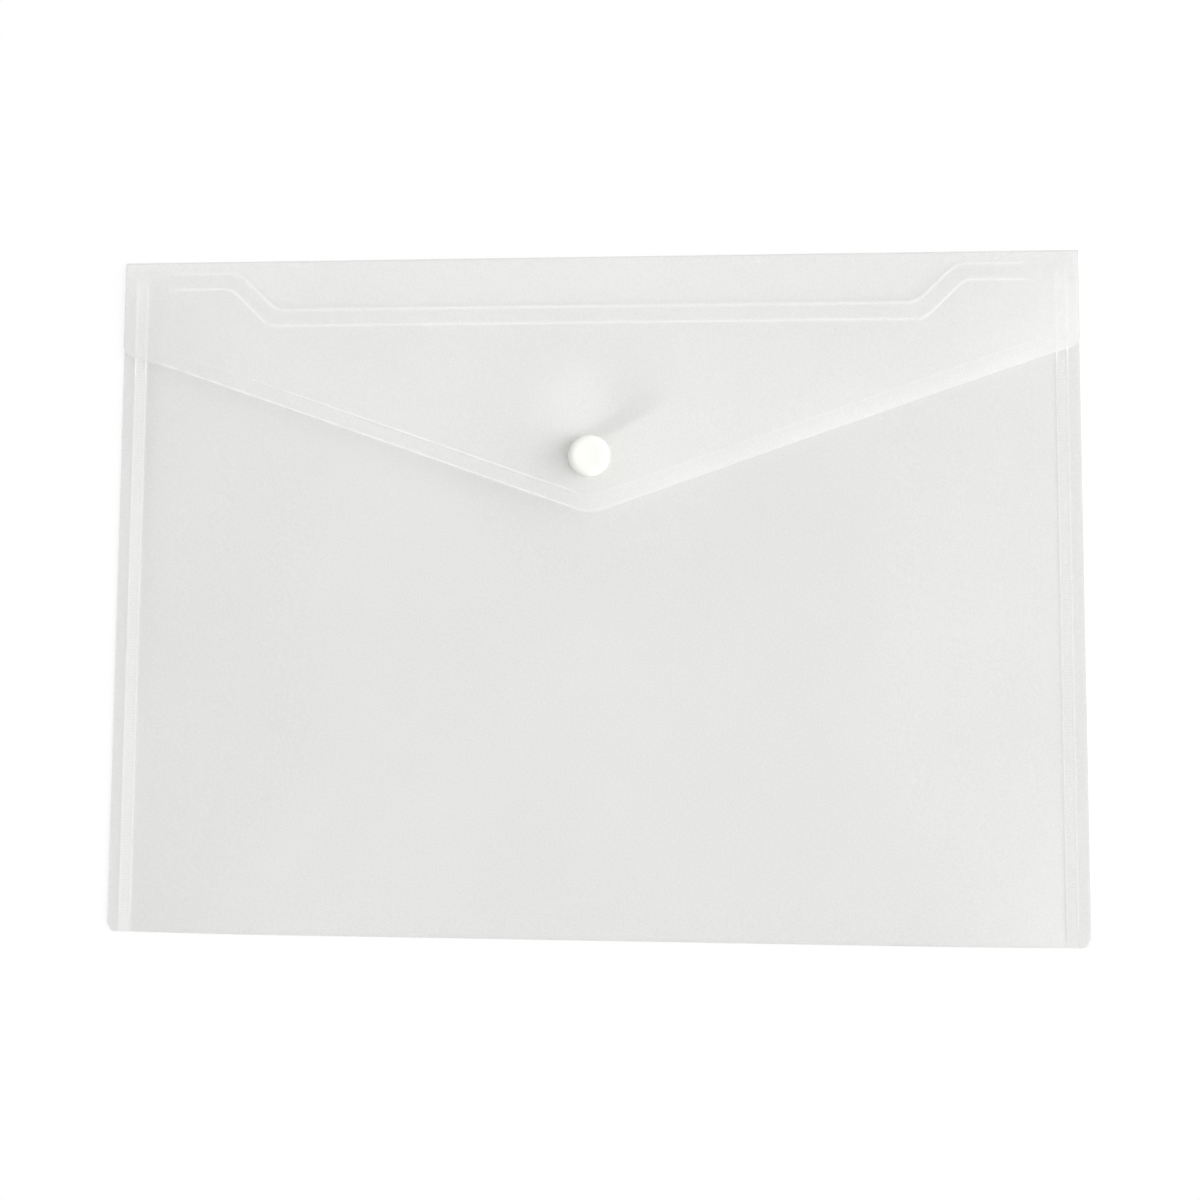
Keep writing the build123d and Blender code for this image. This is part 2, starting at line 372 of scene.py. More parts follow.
# the pocket: back, bottom fold, front and the two welded sides, all one sheet
pocketSet = {
    "crown": 3.5 * mm,          # height of the front away from the press stud
    "studRise": (7.0 * mm, 50.0 * mm),
    "sideRun": 80.0 * mm,       # the front takes this long to rise beside a weld
    "foldRun": 46.0 * mm,       # and this long at the bottom fold
    "runReach": 70.0 * mm,
    "leftStep": 0.75 * mm,      # sharper rise beside the upper part of the left weld
    "leftStepRun": 6.5 * mm,
    "leftStepFrom": (-70.0 * mm, 70.0 * mm),
    "mouthDrop": 17.3 * mm,     # middle of the mouth, down from the top edge
    "earWidth": 41.0 * mm,
    "mouthRound": 2.4 * mm,
    "roofRate": 0.17,           # slope of the sheet down to the top edge
    "roofStart": 1.0 * mm,
    "roofGap": 0.42 * mm,
    "roofRound": 2.4 * mm,
    "mouthLines": (0.8 * mm, 6.5 * mm),   # pressed lines, in from the mouth edge
    "mouthLineStrength": (0.7, 0.85),
    "mouthLineHalf": 0.8 * mm,
    "mouthLineEnd": 150.0 * mm,
    "mouthLineFade": 4.0 * mm,
    "borderReach": 8.5 * mm,
    "lineHalf": 0.5 * mm,
    "lineHeight": 0.15 * mm,
    "weldLines": (4.2 * mm, 7.8 * mm),    # the same in from the side edges
    "weldLineStrength": (0.25, 0.7),      # in the open and under the flap
    "weldLineTurn": (72.0 * mm, 82.0 * mm),
    "weldLineBottom": 6.0 * mm,
    "weldLineTop": 4.0 * mm,
    "weldLineFade": 1.0 * mm,
    "weldSoft": 0.6 * mm,
    "weldLift": (0.28 * mm, 0.06 * mm),   # margins slope down to the edges, left and right
    "weldLiftFade": 14.0 * mm,
    "weldFall": (4.6 * mm, 1.6 * mm),     # back down to the pocket, left and right
    "cornerRound": 3.0 * mm,
    "waveDepth": 0.3 * mm,
    "waveSize": 62.0 * mm,
    "waveLayer": 0,
    "calmRadius": (8.0 * mm, 26.0 * mm),
    "topHighlight": 0.25,           # painted highlight: the strip above the mouth is a little whiter, as if it caught more light
    "stepLead": 4.0 * mm,       # columns stand closer at the mouth's step and at the welds
    "stepTail": 18.0 * mm,
    "weldLead": 10.0 * mm,
    "columnSteps": (2.2 * mm, 1.1 * mm, 2.0 * mm, 0.8 * mm),
    "backStep": 9.0 * mm,
    "frontStep": 2.6 * mm,
    "insideStep": 4.6 * mm,
    "foldSteps": 12,
    "topSteps": 8,
}
topY = creaseHigh.y
mouthY = topY - pocketSet["mouthDrop"]
mouthStepX = halfWidth - pocketSet["earWidth"] - (earY - mouthY)
flapRoot = 2 * creaseRadius - sheetThick


def mouthLine(x, inset):
    slant = mouthY + abs(x) - mouthStepX - inset * math.sqrt(2)
    low = softMax(slant, mouthY - inset, pocketSet["mouthRound"])
    return softMin(low, earY - inset, pocketSet["mouthRound"])


def sideRise(x, y):
    inset = panelHalf - abs(x)
    run = pocketSet["foldRun"]
    run += (pocketSet["sideRun"] - run) * easeStep((y - foldY) / pocketSet["runReach"])
    rise = easeOut(inset / run)
    if x < 0:
        low, high = pocketSet["leftStepFrom"]
        step = easeOut(inset / pocketSet["leftStepRun"]) * easeStep((y - low) / (high - low))
        step *= pocketSet["leftStep"] / (pocketSet["crown"] - weldThick)
        rise += step * (1 - rise)
    return rise


def weldLift(x, y):
    rise = clamp((halfWidth - abs(x)) / pocketSet["weldLines"][0])
    fall = clamp((abs(x) - panelHalf) / pocketSet["weldFall"][x > 0])
    return pocketSet["weldLift"][x > 0] * rise * fall * easeStep((earY - y) / pocketSet["weldLiftFade"])


def weldStrip(x):
    # 1 between the two lines of a weld
    inset = halfWidth - abs(x)
    outer, inner = pocketSet["weldLines"]
    soft = pocketSet["weldSoft"]
    return easeStep((inset - outer) / soft + 0.5) * easeStep((inner - inset) / soft + 0.5)


def foldHeight(x):
    return weldThick + (pocketSet["crown"] - weldThick) * sideRise(x, foldY) + weldLift(x, foldY)


def cornerLift(x):
    # the rounded bottom corners of the welds
    radius = pocketSet["cornerRound"]
    reach = radius - (halfWidth - abs(x))
    return radius - math.sqrt(radius * radius - reach * reach) if reach > 0 else 0.0


def snapCalm(x, y, radii):
    return easeStep((math.hypot(x - snapX, y - snapY) - radii[0]) / (radii[1] - radii[0]))


def frontHeight(x, y):
    roof = flapRoot - pocketSet["roofGap"] + (creaseY - pocketSet["roofStart"] - y) * pocketSet["roofRate"]
    rise = 1 - snapCalm(x, y, pocketSet["studRise"])
    crown = pocketSet["crown"] + (pocketTop - pocketSet["crown"]) * rise
    wave = slowWave(x, y, pocketSet)
    calm = snapCalm(x, y, pocketSet["calmRadius"]) * easeStep((y - foldY) / pocketSet["calmRadius"][1])
    crown = softMin(crown, roof, pocketSet["roofRound"]) - wave * calm * pocketSet["waveDepth"]
    return weldThick + (crown - weldThick) * sideRise(x, y) + weldLift(x, y)


def weldEmboss(x, y):
    inset = halfWidth - abs(x)
    bottom = foldY - foldRadius + pocketSet["weldLineBottom"]
    fade = pocketSet["weldLineFade"]
    inside = easeStep((y - bottom) / fade) * easeStep((earY - pocketSet["weldLineTop"] - y) / fade)
    ridge = max(ridgeBump(inset - line, pocketSet["lineHalf"]) for line in pocketSet["weldLines"])
    low, high = pocketSet["weldLineTurn"]
    bare, covered = pocketSet["weldLineStrength"]
    return inside * ridge * (bare + (covered - bare) * easeStep((y - low) / (high - low)))


def mouthEmboss(x, inset):
    fade = easeStep((pocketSet["mouthLineEnd"] - abs(x)) / pocketSet["mouthLineFade"])
    ridges = [ridgeBump(inset - line, pocketSet["mouthLineHalf"]) for line in pocketSet["mouthLines"]]
    pressed = zip(ridges, pocketSet["mouthLineStrength"])
    return fade * max(ridge * strength for ridge, strength in pressed)


def pocketColumns():
    stepStart, stepEnd = mouthStepX - pocketSet["stepLead"], mouthStepX + pocketSet["stepTail"]
    marks = (0.0, stepStart, stepEnd, panelHalf - pocketSet["weldLead"], panelHalf)
    side = []
    for low, high, step in zip(marks, marks[1:], pocketSet["columnSteps"]):
        side += spread(low, high, step)
    weldRows = lineRows(pocketSet["weldLines"], pocketSet["lineHalf"], halfWidth - panelHalf)
    side += [halfWidth - inset for inset in weldRows]
    return bothSides(side)


def makePocketSheet():
    bm = bmesh.new()
    # the emboss layer holds the pressed lines and the painted highlight above the mouth
    embossAndHighlightLayer = bm.verts.layers.float.new("emboss")
    fusedLayer = bm.verts.layers.float.new("fused")
    innerLayer = bm.verts.layers.float.new("inner")
    borderRows = lineRows(pocketSet["mouthLines"], pocketSet["mouthLineHalf"], pocketSet["borderReach"])
    backSteps = round((creaseY - foldY) / pocketSet["backStep"])
    frontSteps = round((mouthY - foldY) / pocketSet["frontStep"])
    insideSteps = round((mouthY - foldY) / pocketSet["insideStep"])
    foldSteps, topSteps = pocketSet["foldSteps"], pocketSet["topSteps"]
    foldAngles = [math.pi * step / foldSteps for step in range(foldSteps + 1)]

    def point(x, y, z, emboss=0.0, inner=0.0):
        vert = bm.verts.new((x, y, z))
        vert[embossAndHighlightLayer] = emboss
        vert[innerLayer] = inner
        vert[fusedLayer] = weldStrip(x) if y < earY + hair else 0.0
        return vert

    outside, inside, tops, edges = [], [], [], []
    for x in pocketColumns():
        centreY = foldY + cornerLift(x)
        height = foldHeight(x)
        column = []
        for step in range(backSteps):
            column.append(point(x, creaseY + (centreY - creaseY) * step / backSteps, 0))
        for angle in foldAngles[:-1]:
            y = centreY - foldRadius * math.sin(angle)
            column.append(point(x, y, height / 2 * (1 - math.cos(angle))))
        for step in range(frontSteps):
            y = centreY + (mouthLine(x, borderRows[0]) - centreY) * step / frontSteps
            emboss = weldEmboss(x, y)
            z = frontHeight(x, y) + emboss * pocketSet["lineHeight"]
            column.append(point(x, y, z, emboss * brokenLine(x, y)))
        for inset in borderRows:
            y = mouthLine(x, inset)
            emboss = max(mouthEmboss(x, inset), weldEmboss(x, y))
            column.append(point(x, y, frontHeight(x, y) + emboss * pocketSet["lineHeight"], emboss))
        outside.append(column)

        edgeY = mouthLine(x, 0)
        innerEdge = point(x, edgeY, frontHeight(x, edgeY) - sheetThick, inner=1)
        edges.append([column[-1], innerEdge])
        backEdge = innerEdge
        if abs(x) <= panelHalf + hair:
            column = [innerEdge]
            for step in range(1, insideSteps):
                y = edgeY + (centreY - edgeY) * step / insideSteps
                column.append(point(x, y, frontHeight(x, y) - sheetThick, inner=1))
            for angle in foldAngles:
                y = centreY - (foldRadius - sheetThick) * math.sin(angle)
                z = height / 2 + (height / 2 - sheetThick) * math.cos(angle)
                column.append(point(x, y, z, inner=1))
            for step in range(1, insideSteps + 1):
                y = centreY + (edgeY - centreY) * step / insideSteps
                column.append(point(x, y, sheetThick, inner=1))
            inside.append(column)
            backEdge = column[-1]
        column = [backEdge]
        for step in range(1, topSteps + 1):
            y = edgeY + (creaseY - edgeY) * step / topSteps
            # painted highlight on the strip above the mouth
            column.append(point(x, y, sheetThick, pocketSet["topHighlight"]))
        tops.append(column)
    creaseEnd = [[top[-1], out[0]] for top, out in zip(tops, outside)]
    for columns in (outside, edges, inside, tops, creaseEnd):
        stitchGrid(bm, columns)
    return finishSheet("pocket_sheet", bm)


pocketSheet = makePocketSheet()
print("wallet: pocket sheet has", len(pocketSheet.data.polygons), "faces")

# the flap and the crease it turns on
flapSet = {
    "sideRun": 45.0 * mm,        # the flap takes this long to rise from each side
    "roofRate": 0.17,            # slope up from the crease
    "creaseLand": 1.0 * mm,
    "gap": 1.7 * mm,             # how far it lies above the front
    "edgeGap": 0.95 * mm,        # the same along the V edge
    "droopReach": 12.0 * mm,
    "droopCalm": (8.0 * mm, 16.0 * mm),
    "leastGap": 0.3 * mm,
    "roofRound": 3.0 * mm,
    "edgeRate": 0.3545,          # slope of the wide V in plan
    "tipRound": 14.0 * mm,
    "cornerRound": 4.0 * mm,
    "moundRadius": (20.0 * mm, 160.0 * mm),   # the sheet falls away from the button
    "foldFrom": (7.2 * mm, 7.7 * mm),         # pulled fold from the button to the upper right
    "foldAngle": math.radians(28.4),
    "foldRise": 0.5 * mm,
    "foldSkirt": 22.0 * mm,
    "foldDent": 2.9 * mm,
    "foldFlank": 6.2 * mm,
    "foldTail": 16.0 * mm,
    "foldMiddle": 2.5 * mm,
    "foldReach": (16.0 * mm, 13.0 * mm),
    "holdRadius": (5.4 * mm, 7.2 * mm),
    "waveDepth": 0.3 * mm,
    "waveSize": 48.0 * mm,
    "waveLayer": 1,
    "calmRadius": (8.0 * mm, 24.0 * mm),
    "lineInset": 5.8 * mm,
    "rimInset": 0.7 * mm,
    "lineHalf": 0.5 * mm,
    "lineHeight": 0.15 * mm,
    "lineStrength": (0.75, 0.1),              # left and right of the tip
    "tipTurn": (-10.0 * mm, 2.0 * mm),
    "innerFade": (60.0 * mm, 148.0 * mm),
    "endFade": (146.0 * mm, 157.0 * mm),
    # painted highlight along the right V strip
    "bandHighlight": 0.12,
    "bandStart": 40.0 * mm,
    "bandReach": 7.5 * mm,
    "borderReach": 8.0 * mm,
    "columnTurn": 36.0 * mm,                  # columns stand closer near the button
    "columnSteps": (1.2 * mm, 1.8 * mm),
    "cornerGaps": (5.0, 4.0, 3.2, 2.5, 1.9, 1.4, 1.0, 0.65, 0.35, 0.15, 0.04, 0.0),
    "creaseSteps": 12,
    "rowStep": 1.5 * mm,
    "insideStep": 2.4 * mm,
}
edgeStretch = math.sqrt(1 + flapSet["edgeRate"] ** 2)
sharpTipY = flapLow.y - flapSet["tipRound"] * (edgeStretch - 1)


def vEdge(x, inset=0.0):
    # y of the V edge, or of a line that runs inside it
    line = sharpTipY + flapSet["edgeRate"] * abs(x) + inset * edgeStretch
    tipRadius = flapSet["tipRound"] - inset
    if tipRadius > 0 and abs(x) < tipRadius * flapSet["edgeRate"] / edgeStretch:
        return sharpTipY + flapSet["tipRound"] * edgeStretch - math.sqrt(tipRadius ** 2 - x * x)
    radius = flapSet["cornerRound"]
    reach = abs(x) - (halfWidth - radius)
    if reach > radius * flapSet["edgeRate"] / edgeStretch:
        cornerY = sharpTipY + flapSet["edgeRate"] * (halfWidth - radius) + radius * edgeStretch
        return cornerY - math.sqrt(max(radius ** 2 - reach ** 2, 0)) + inset * edgeStretch
    return line


def flapFold(x, y):
    # a low ridge that falls off sharply above its line
    dx, dy = x - snapX, y - snapY
    low, high = flapSet["holdRadius"]
    hold = easeStep((math.hypot(dx, dy) - low) / (high - low))
    dx, dy = dx - flapSet["foldFrom"][0], dy - flapSet["foldFrom"][1]
    along = dx * math.cos(flapSet["foldAngle"]) + dy * math.sin(flapSet["foldAngle"])
    across = dy * math.cos(flapSet["foldAngle"]) - dx * math.sin(flapSet["foldAngle"])
    rise, flank = flapSet["foldRise"], flapSet["foldFlank"]
    share = clamp(across / flank)
    height = rise * math.exp(min(across, 0) / flapSet["foldSkirt"])
    height -= (rise + flapSet["foldDent"]) * (5 * share - share ** 5) / 4
    past = max(across - flank, 0) / flapSet["foldTail"]
    bell = along - flapSet["foldMiddle"]
    bell /= flapSet["foldReach"][bell > 0]
    return height * math.exp(-past * past - bell * bell) * hold


def flapUnder(x, y):
    roof = flapRoot + (creaseY - flapSet["creaseLand"] - y) * flapSet["roofRate"]
    level = pocketSet["crown"] + flapSet["gap"]
    level += (flapLevel - level) * (1 - snapCalm(x, y, flapSet["moundRadius"]))
    side = easeOut((halfWidth - abs(x)) / flapSet["sideRun"])
    height = flapRoot + (softMin(roof, level, flapSet["roofRound"]) - flapRoot) * side + flapFold(x, y)
    inset = (y - vEdge(x)) / edgeStretch
    droop = (flapSet["gap"] - flapSet["edgeGap"]) * (1 - clamp(inset / flapSet["droopReach"])) ** 2
    height -= droop * side * snapCalm(x, y, flapSet["droopCalm"])
    wave = slowWave(x, y, flapSet)
    height -= wave * snapCalm(x, y, flapSet["calmRadius"]) * side * flapSet["waveDepth"]
    least = frontHeight(x, y) + flapSet["leastGap"]
    return max(softMax(height, least, flapSet["leastGap"]), flapRoot)


def flapEmboss(x, inset):
    # crisp lines on the left, soft on the right, none over the welds
    left, right = flapSet["lineStrength"]
    low, high = flapSet["tipTurn"]
    strength = left + (right - left) * easeStep((x - low) / (high - low))
    low, high = flapSet["innerFade"]
    innerLine = ridgeBump(inset - flapSet["lineInset"], flapSet["lineHalf"])
    innerLine *= easeStep((x + high) / (high - low))
    rim = ridgeBump(inset - flapSet["rimInset"], flapSet["lineHalf"])
    low, high = flapSet["endFade"]
    return max(innerLine, rim) * strength * easeStep((high - abs(x)) / (high - low))


def flapBandHighlight(x, inset):
    # painted highlight: the whole strip is paler on the right, where it faces the light
    low, high = flapSet["endFade"]
    start = easeStep(x / flapSet["bandStart"]) * easeStep((high - x) / (high - low))
    return flapSet["bandHighlight"] * start * easeStep((flapSet["bandReach"] - inset) / flapSet["bandReach"])


def flapColumns():
    corner = [halfWidth - gap * mm for gap in flapSet["cornerGaps"]]
    near, far = flapSet["columnSteps"]
    side = spread(0.0, flapSet["columnTurn"], near)
    side += spread(flapSet["columnTurn"], corner[0], far)
    return bothSides(side + corner)


def makeFlapSheet():
    bm = bmesh.new()
    # the emboss layer holds the pressed lines and the painted highlight of the right strip
    embossAndHighlightLayer = bm.verts.layers.float.new("emboss")
    innerLayer = bm.verts.layers.float.new("inner")
    lines = (flapSet["lineInset"], flapSet["rimInset"])
    borderRows = lineRows(lines, flapSet["lineHalf"], flapSet["borderReach"])
    rows = round((creaseY - flapLow.y) / flapSet["rowStep"])
    insideRows = round((creaseY - flapLow.y) / flapSet["insideStep"])
    creaseSteps = flapSet["creaseSteps"]
    innerRadius = creaseRadius - sheetThick

    def point(x, y, z, emboss=0.0, inner=0.0):
        vert = bm.verts.new((x, y, z))
        vert[embossAndHighlightLayer] = emboss
        vert[innerLayer] = inner
        return vert

    tops, unders, edges, ends = [], [], [], []
    for x in flapColumns():
        top, under = [], []
        for step in range(creaseSteps):
            angle = math.pi * step / creaseSteps
            y = creaseY + creaseRadius * math.sin(angle)
            top.append(point(x, y, creaseRadius * (1 - math.cos(angle))))
            y = creaseY + innerRadius * math.sin(angle)
            under.append(point(x, y, creaseRadius - innerRadius * math.cos(angle), inner=1))
        innerY = vEdge(x, borderRows[0])
        for step in range(rows):
            y = creaseY + (innerY - creaseY) * step / rows
            top.append(point(x, y, flapUnder(x, y) + sheetThick))
        for inset in borderRows:
            y = vEdge(x, inset)
            emboss = flapEmboss(x, inset)
            z = flapUnder(x, y) + sheetThick + emboss * flapSet["lineHeight"]
            # the pressed lines, with the painted highlight of the right strip
            top.append(point(x, y, z, max(emboss * brokenLine(x, y), flapBandHighlight(x, inset))))
        edgeY = vEdge(x)
        for step in range(insideRows + 1):
            y = creaseY + (edgeY - creaseY) * step / insideRows
            under.append(point(x, y, flapUnder(x, y), inner=1))
        tops.append(top)
        unders.append(under)
        edges.append([top[-1], under[-1]])
        ends.append([under[0], top[0]])
    for columns in (tops, edges, unders, ends):
        stitchGrid(bm, columns)
    return finishSheet("flap_sheet", bm)


flapSheet = makeFlapSheet()
print("wallet: flap sheet has", len(flapSheet.data.polygons), "faces")

# fine pressed ribs, laid across each embossed strip by one node tree
ribSet = {
    "pitch": 1.05 * mm,
    "width": 0.42 * mm,
    "height": 0.04 * mm,
    "sink": 0.02 * mm,
    "topShare": (0.4, 0.94, 1.0),     # a rib's top against its foot
    "barVertices": (3, 5),
    "lengthRange": (0.9, 1.0),
    "clear": 0.89,                    # how much of the film's scatter a rib leaves out
    "dropHeight": 30.0 * mm,
    "seed": 7,
    "pathStep": 1.0 * mm,
    "flapEnd": 152.0 * mm,
    "mouthEnd": 146.0 * mm,
    "flapTrim": 1.2 * mm,             # ribs stop short of the lines beside them
    "mouthTrim": 1.6 * mm,
    "weldTrim": 1.0 * mm,
}


def ribTree():
    tree = bpy.data.node_groups.new("pressed ribs", "GeometryNodeTree")
    face = tree.interface
    face.new_socket("Path", in_out="INPUT", socket_type="NodeSocketGeometry")
    for name in ("Pitch", "Width", "Length", "Height", "Sink", "Clear", "Drop Height"):
        face.new_socket(name, in_out="INPUT", socket_type="NodeSocketFloat")
    face.new_socket("Seed", in_out="INPUT", socket_type="NodeSocketInt")
    face.new_socket("Sheet", in_out="INPUT", socket_type="NodeSocketObject")
    face.new_socket("Material", in_out="INPUT", socket_type="NodeSocketMaterial")
    face.new_socket("Ribs", in_out="OUTPUT", socket_type="NodeSocketGeometry")
    link = tree.links.new
    given = addNode(tree, "NodeGroupInput", (-1400, 0)).outputs
    path = addNode(tree, "GeometryNodeMeshToCurve", (-1150, 200))
    even = addNode(tree, "GeometryNodeResampleCurve", (-950, 200), mode="LENGTH")
    link(given["Path"], path.inputs["Mesh"])
    link(path.outputs["Curve"], even.inputs["Curve"])
    link(given["Pitch"], even.inputs["Length"])

    # one rib: a low bar whose top is narrower than its foot
    size = addNode(tree, "ShaderNodeCombineXYZ", (-1150, -150))
    link(given["Width"], size.inputs["X"])
    link(given["Length"], size.inputs["Y"])
    link(given["Height"], size.inputs["Z"])
    bar = addNode(tree, "GeometryNodeMeshCube", (-950, -150))
    bar.inputs["Vertices X"].default_value = ribSet["barVertices"][0]
    bar.inputs["Vertices Y"].default_value = ribSet["barVertices"][1]
    link(size.outputs[0], bar.inputs["Size"])
    place = addNode(tree, "GeometryNodeInputPosition", (-1150, -350))
    axes = addNode(tree, "ShaderNodeSeparateXYZ", (-950, -350))
    link(place.outputs[0], axes.inputs[0])
    isTop = addNode(tree, "FunctionNodeCompare", (-750, -350), data_type="FLOAT", operation="GREATER_THAN")
    link(axes.outputs["Z"], isTop.inputs[0])
    taper = addNode(tree, "ShaderNodeVectorMath", (-750, -550), operation="MULTIPLY")
    taper.inputs[1].default_value = ribSet["topShare"]
    link(place.outputs[0], taper.inputs[0])
    shaped = addNode(tree, "GeometryNodeSetPosition", (-550, -150))
    link(bar.outputs["Mesh"], shaped.inputs["Geometry"])
    link(isTop.outputs[0], shaped.inputs["Selection"])
    link(taper.outputs[0], shaped.inputs["Position"])

    tangent = addNode(tree, "GeometryNodeInputTangent", (-950, 450))
    turn = addNode(tree, "FunctionNodeAlignRotationToVector", (-750, 450), axis="X", pivot_axis="Z")
    link(tangent.outputs[0], turn.inputs["Vector"])
    vary = addNode(tree, "FunctionNodeRandomValue", (-750, 650), data_type="FLOAT")
    vary.inputs[2].default_value = ribSet["lengthRange"][0]
    vary.inputs[3].default_value = ribSet["lengthRange"][1]
    link(given["Seed"], vary.inputs["Seed"])
    stretch = addNode(tree, "ShaderNodeCombineXYZ", (-550, 650))
    stretch.inputs["X"].default_value = 1
    stretch.inputs["Z"].default_value = 1
    link(vary.outputs[1], stretch.inputs["Y"])
    bars = addNode(tree, "GeometryNodeInstanceOnPoints", (-350, 200))
    link(even.outputs["Curve"], bars.inputs["Points"])
    link(shaped.outputs["Geometry"], bars.inputs["Instance"])
    link(turn.outputs["Rotation"], bars.inputs["Rotation"])
    link(stretch.outputs[0], bars.inputs["Scale"])
    real = addNode(tree, "GeometryNodeRealizeInstances", (-150, 200))
    link(bars.outputs["Instances"], real.inputs["Geometry"])

    # drop every corner straight down onto the sheet and keep its own height there
    sheet = addNode(tree, "GeometryNodeObjectInfo", (-350, -300), transform_space="ORIGINAL")
    link(given["Sheet"], sheet.inputs["Object"])
    here = addNode(tree, "GeometryNodeInputPosition", (-550, -700))
    parts = addNode(tree, "ShaderNodeSeparateXYZ", (-350, -700))
    link(here.outputs[0], parts.inputs[0])
    above = addNode(tree, "ShaderNodeCombineXYZ", (-150, -600))
    link(parts.outputs["X"], above.inputs["X"])
    link(parts.outputs["Y"], above.inputs["Y"])
    link(given["Drop Height"], above.inputs["Z"])
    ray = addNode(tree, "GeometryNodeRaycast", (50, -300))
    ray.inputs["Ray Direction"].default_value = (0, 0, -1)
    ray.inputs["Ray Length"].default_value = 1
    link(sheet.outputs["Geometry"], ray.inputs["Target Geometry"])
    link(above.outputs[0], ray.inputs["Source Position"])
    lift = addNode(tree, "ShaderNodeMath", (50, -700), operation="SUBTRACT")
    link(parts.outputs["Z"], lift.inputs[0])
    link(given["Sink"], lift.inputs[1])
    rise = addNode(tree, "ShaderNodeCombineXYZ", (250, -700))
    link(lift.outputs[0], rise.inputs["Z"])
    laid = addNode(tree, "GeometryNodeSetPosition", (300, 200))
    link(real.outputs[0], laid.inputs["Geometry"])
    link(ray.outputs["Is Hit"], laid.inputs["Selection"])
    link(ray.outputs["Hit Position"], laid.inputs["Position"])
    link(rise.outputs[0], laid.inputs["Offset"])
    mark = addNode(tree, "GeometryNodeStoreNamedAttribute", (450, 400))
    mark.inputs["Name"].default_value = "inner"
    link(laid.outputs[0], mark.inputs["Geometry"])
    link(given["Clear"], mark.inputs["Value"])
    paint = addNode(tree, "GeometryNodeSetMaterial", (600, 200))
    link(mark.outputs[0], paint.inputs["Geometry"])
    link(given["Material"], paint.inputs["Material"])
    output = addNode(tree, "NodeGroupOutput", (700, 200))
    link(paint.outputs[0], output.inputs["Ribs"])
    return tree


ribsAlong = ribTree()


def makeRibs(name, paths, length, sheet):
    guide = bpy.data.meshes.new(name + "_path")
    points, links = [], []
    for path in paths:
        first = len(points)
        points += [(x, y, 0) for x, y in path]
        links += [(first + k, first + k + 1) for k in range(len(path) - 1)]
    guide.from_pydata(points, links, [])
    holder = newPiece(name + "_path", guide)
    modifier = holder.modifiers.new("ribs", "NODES")
    modifier.node_group = ribsAlong
    inputs = {
        "Pitch": ribSet["pitch"],
        "Width": ribSet["width"],
        "Length": length,
        "Height": 2 * ribSet["height"],
        "Sink": ribSet["sink"],
        "Clear": ribSet["clear"],
        "Drop Height": ribSet["dropHeight"],
        "Seed": ribSet["seed"],
        "Sheet": sheet,
        "Material": frosted,
    }
    for item in ribsAlong.interface.items_tree:
        if item.in_out == "INPUT" and item.name in inputs:
            modifier[item.identifier] = inputs[item.name]
    bpy.context.view_layer.update()
    ready = holder.evaluated_get(bpy.context.evaluated_depsgraph_get())
    mesh = bpy.data.meshes.new_from_object(ready)
    bpy.data.objects.remove(holder)
    mesh.name = name
    return newPiece(name, mesh)


def pathAlong(line, inset, end):
    return [(x, line(x, inset)) for x in spread(-end, end, ribSet["pathStep"])]


def stripBetween(lines, trim):
    # middle and length of the ribs between two lines
    return sum(lines) / 2, max(lines) - min(lines) - trim


flapLines = (flapSet["rimInset"], flapSet["lineInset"])
middle, length = stripBetween(flapLines, ribSet["flapTrim"])
flapPath = pathAlong(vEdge, middle, ribSet["flapEnd"])
flapRibs = makeRibs("flap_edge_ribs", [flapPath], length, flapSheet)
middle, length = stripBetween(pocketSet["mouthLines"], ribSet["mouthTrim"])
mouthPath = pathAlong(mouthLine, middle, ribSet["mouthEnd"])
mouthRibs = makeRibs("mouth_edge_ribs", [mouthPath], length, pocketSheet)
middle, length = stripBetween(pocketSet["weldLines"], ribSet["weldTrim"])
weldBottom = foldY - foldRadius + pocketSet["weldLineBottom"]
weldTop = earY - pocketSet["weldLineTop"]
weldPaths = [[(x, weldBottom), (x, weldTop)] for x in (middle - halfWidth, halfWidth - middle)]
weldRibs = makeRibs("side_weld_ribs", weldPaths, length, pocketSheet)
print("wallet: ribs have", [len(piece.data.polygons) for piece in (flapRibs, mouthRibs, weldRibs)], "faces")

# the press stud's four mouldings, each turned on the button's axis
buttonSet = {
    "segments": 96,
    "sharpAngle": math.radians(35),
    "capRadius": (capHigh.x - capLow.x) / 2,
    "capEdge": (2.3 * mm, 1.35 * mm),
    "capEdgeSteps": 14,
    "dishRadius": 4.5 * mm,
    "dishDepth": 0.05 * mm,
    "dishSteps": 12,
    "postRadius": 1.6 * mm,
    "postGap": 0.05 * mm,
    "stakeRadius": 2.2 * mm,
    "stakeHeight": 0.4 * mm,
    "mouthRadius": 2.95 * mm,
    "lipHeight": 0.5 * mm,
    "socketWeb": 0.8 * mm,
    "cavityRadius": 3.25 * mm,
    "flange": 0.7 * mm,
    "neckRadius": 2.8 * mm,
    "headRadius": 3.1 * mm,
    "headTopRadius": 2.5 * mm,
    "neckGap": 0.15 * mm,
    "headRamp": 0.15 * mm,
    "roundEdge": 0.5 * mm,      # on the socket and the backing cap
    "roundSteps": 6,
    "edgeBreak": 0.12 * mm,
}


def arcPoints(centreR, centreZ, radius, startDeg, endDeg, steps):
    points = []
    for step in range(steps + 1):
        angle = math.radians(startDeg + (endDeg - startDeg) * step / steps)
        points.append((centreR + radius * math.cos(angle), centreZ + radius * math.sin(angle)))
    return points


